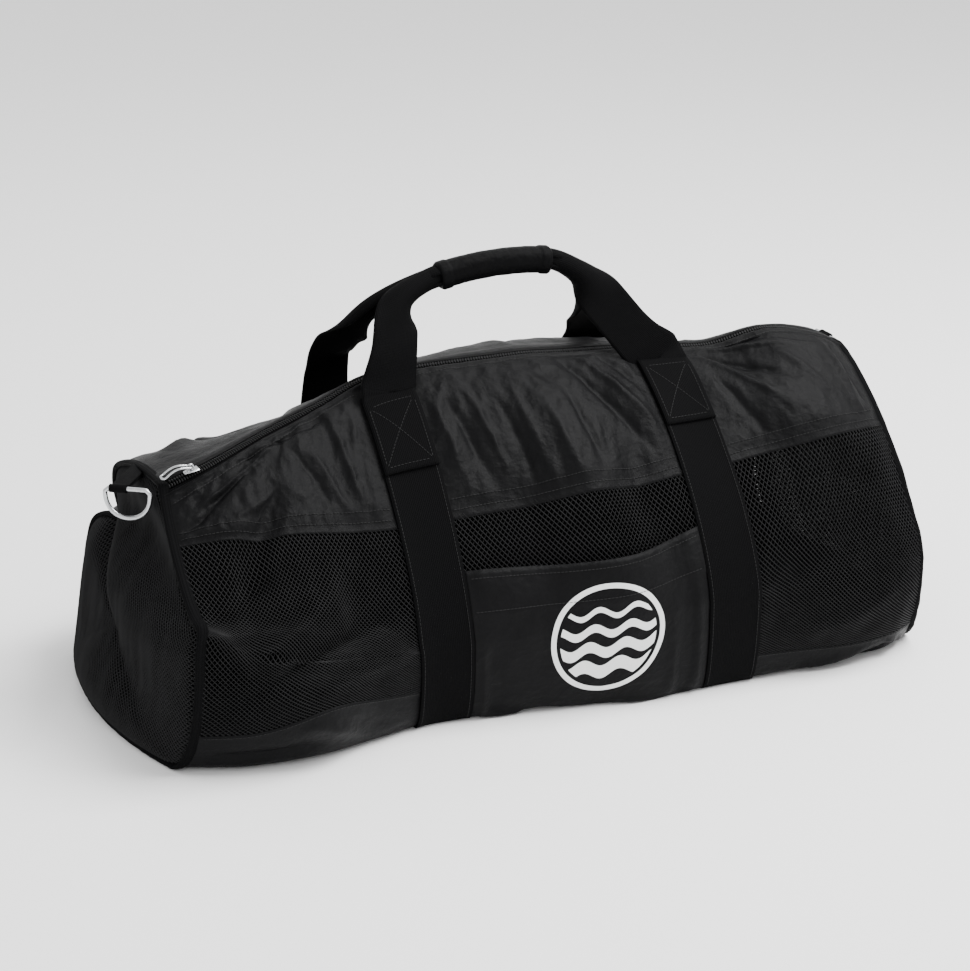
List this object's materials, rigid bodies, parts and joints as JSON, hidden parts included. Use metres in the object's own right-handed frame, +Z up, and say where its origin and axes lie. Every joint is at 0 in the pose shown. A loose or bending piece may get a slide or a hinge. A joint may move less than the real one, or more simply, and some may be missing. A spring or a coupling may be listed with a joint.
{
  "type": "mesh duffel bag",
  "caption": "Rounded duffel bag for dive gear with black nylon top and base, mesh sides and ends, flat front pocket, zip, straps round the body and a padded grip.",
  "frame": {"origin": "centre of the bag's footprint box, on the floor", "axes": "+X along the bag towards its right end, -Y towards the front with the pocket, +Z up"},
  "size_m": [0.7701, 0.3698, 0.3723],
  "materials": {
    "nylon": "woven, slightly shiny",
    "mesh": "open net",
    "webbing": "ribbed matt",
    "grip_cloth": "woven over padding",
    "zip_coil": "moulded coil",
    "metal": "plated, bright"
  },
  "bodies": {
    "bag": {"front_upper_panel": "nylon", "back_panel": "nylon", "bottom_panel": "nylon", "front_pocket": "nylon", "front_mesh_panel": "mesh", "left_end_panel": "mesh", "right_end_panel": "mesh", "left_end_binding": "webbing", "right_end_binding": "webbing", "left_strap": "webbing", "right_strap": "webbing", "front_handle": "webbing", "back_handle": "webbing", "grip_wrap": "grip_cloth", "zip_tape_front": "webbing", "zip_tape_back": "webbing", "left_ring_tab": "webbing", "right_ring_tab": "webbing", "zip_chain": "zip_coil", "zip_slider": "metal"},
    "pull": {"zip_pull": "metal"},
    "ring_left": {"left_ring": "metal"},
    "ring_right": {"right_ring": "metal"}
  },
  "joints": [
    {"name": "zip_pull_swing", "type": "hinge", "parent": "bag", "child": "pull", "pos_m": [-0.29759, -0.03636, 0.22908], "axis": [0, 1, 0], "range_deg": [0, 140]},
    {"name": "left_ring_swing", "type": "hinge", "parent": "bag", "child": "ring_left", "pos_m": [-0.3488, -0.0229, 0.2126], "axis": [0.8, -0.6, 0], "range_deg": [-85, 20]},
    {"name": "right_ring_swing", "type": "hinge", "parent": "bag", "child": "ring_right", "pos_m": [0.3672, 0.0451, 0.241], "axis": [0, 1, 0], "range_deg": [-85, 25]}
  ]
}
